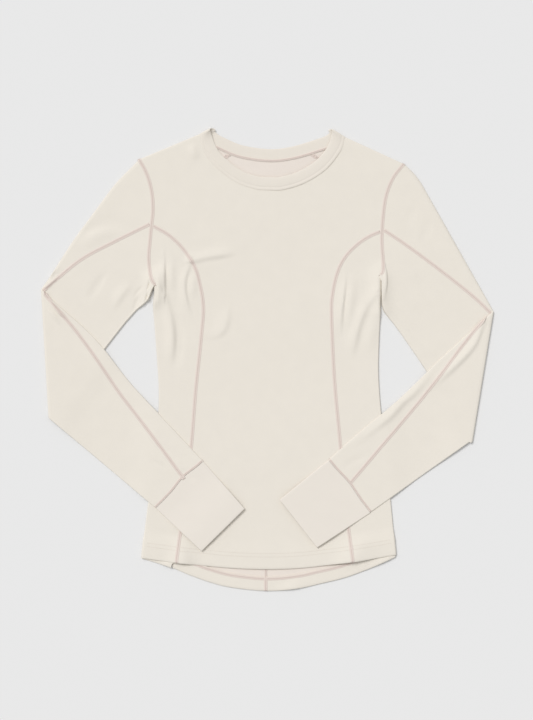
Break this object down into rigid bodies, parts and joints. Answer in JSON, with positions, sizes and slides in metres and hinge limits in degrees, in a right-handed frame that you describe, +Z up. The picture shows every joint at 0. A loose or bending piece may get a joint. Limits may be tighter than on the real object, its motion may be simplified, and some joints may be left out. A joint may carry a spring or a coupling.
{
  "type": "thermal base layer top",
  "caption": "Fitted long-sleeved thermal base layer top in pale waffle knit, laid flat face up, sleeves folded across the front at the elbow, scooped tail hem and plain cuffs.",
  "frame": {"origin": "on the table under the middle of the laid-out garment", "axes": "+Z up from the table, +Y towards the neck, +X towards the wearer's left arm"},
  "size_m": [0.6433, 0.6545, 0.0084],
  "materials": {
    "body_knit": "cream fine waffle knit, matt",
    "cuff_knit": "cream smooth double knit, matt",
    "collar_knit": "cream fine rib knit folded double, matt"
  },
  "bodies": {
    "root": {"front": "body_knit", "back_yoke": "body_knit", "back_left": "body_knit", "back_right": "body_knit", "side_left": "body_knit", "side_right": "body_knit", "sleeve_left": "body_knit", "sleeve_right": "body_knit", "cuff_left": "cuff_knit", "cuff_right": "cuff_knit", "collar": "collar_knit"}
  },
  "joints": []
}
